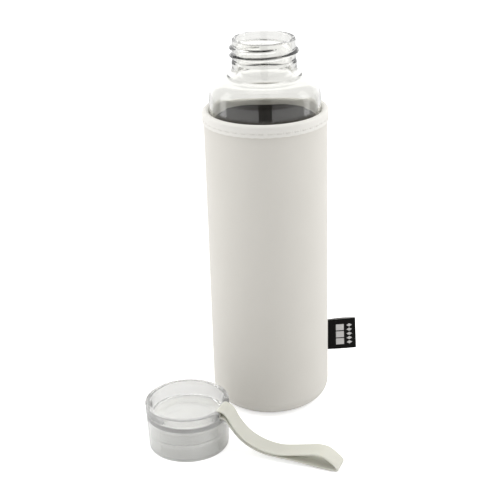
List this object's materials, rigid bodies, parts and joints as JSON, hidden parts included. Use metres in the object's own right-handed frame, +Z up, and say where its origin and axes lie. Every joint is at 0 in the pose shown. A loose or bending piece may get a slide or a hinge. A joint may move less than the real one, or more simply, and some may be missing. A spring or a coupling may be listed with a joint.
{
  "type": "glass water bottle",
  "caption": "Clear glass drinking bottle in a fabric sleeve with a bound top edge and a side label; its clear screw cap with a looped carry strap stands beside it.",
  "frame": {"origin": "centre of the sleeve's underside, on the bottle's axis, at the height of the surface it stands on", "axes": "+Z up the bottle's axis; the cap stands on the -Y side of the bottle, towards -X, and the label is on the +X side"},
  "size_m": [0.1283, 0.1349, 0.2271],
  "materials": {
    "bottle_glass": "clear, fire polished",
    "cap_plastic": "clear, moulded",
    "seal_silicone": "milky, satin",
    "strap_rubber": "off-white, matt",
    "sleeve_fabric": "off-white, fine knit",
    "binding_fabric": "off-white, folded tape",
    "lining_fabric": "dark, brushed",
    "sewing_thread": "off-white, twisted",
    "label_tape": "black, woven"
  },
  "bodies": {
    "sleeve": {"sleeve_shell": "sleeve_fabric", "sleeve_lining": "lining_fabric", "base_panel": "sleeve_fabric", "base_lining": "lining_fabric", "top_binding": "binding_fabric", "hem_stitch": "sewing_thread", "side_seam_stitch": "sewing_thread", "base_seam_stitch": "sewing_thread"},
    "bottle": {"glass_bottle": "bottle_glass"},
    "cap": {"cap_shell": "cap_plastic", "cap_insert": "cap_plastic", "cap_gasket": "seal_silicone"},
    "strap": {"carry_strap": "strap_rubber"},
    "label": {"woven_label": "label_tape"}
  },
  "joints": [
    {"name": "bottle_lift", "type": "slide", "parent": "sleeve", "child": "bottle", "axis": [0, 0, 1], "range_m": [0, 0.19]},
    {"name": "cap_lift", "type": "slide", "parent": "sleeve", "child": "cap", "axis": [0, 0, 1], "range_m": [0, 0.25]},
    {"name": "strap_swing", "type": "hinge", "parent": "cap", "child": "strap", "pos_m": [-0.0284, -0.0675, 0.0249], "axis": [-0.342, -0.9397, 0], "range_deg": [0, 95]},
    {"name": "label_fold", "type": "hinge", "parent": "sleeve", "child": "label", "pos_m": [0.03664, 0.00515, 0.0355], "axis": [0, 0, 1], "range_deg": [-70, 70]}
  ]
}
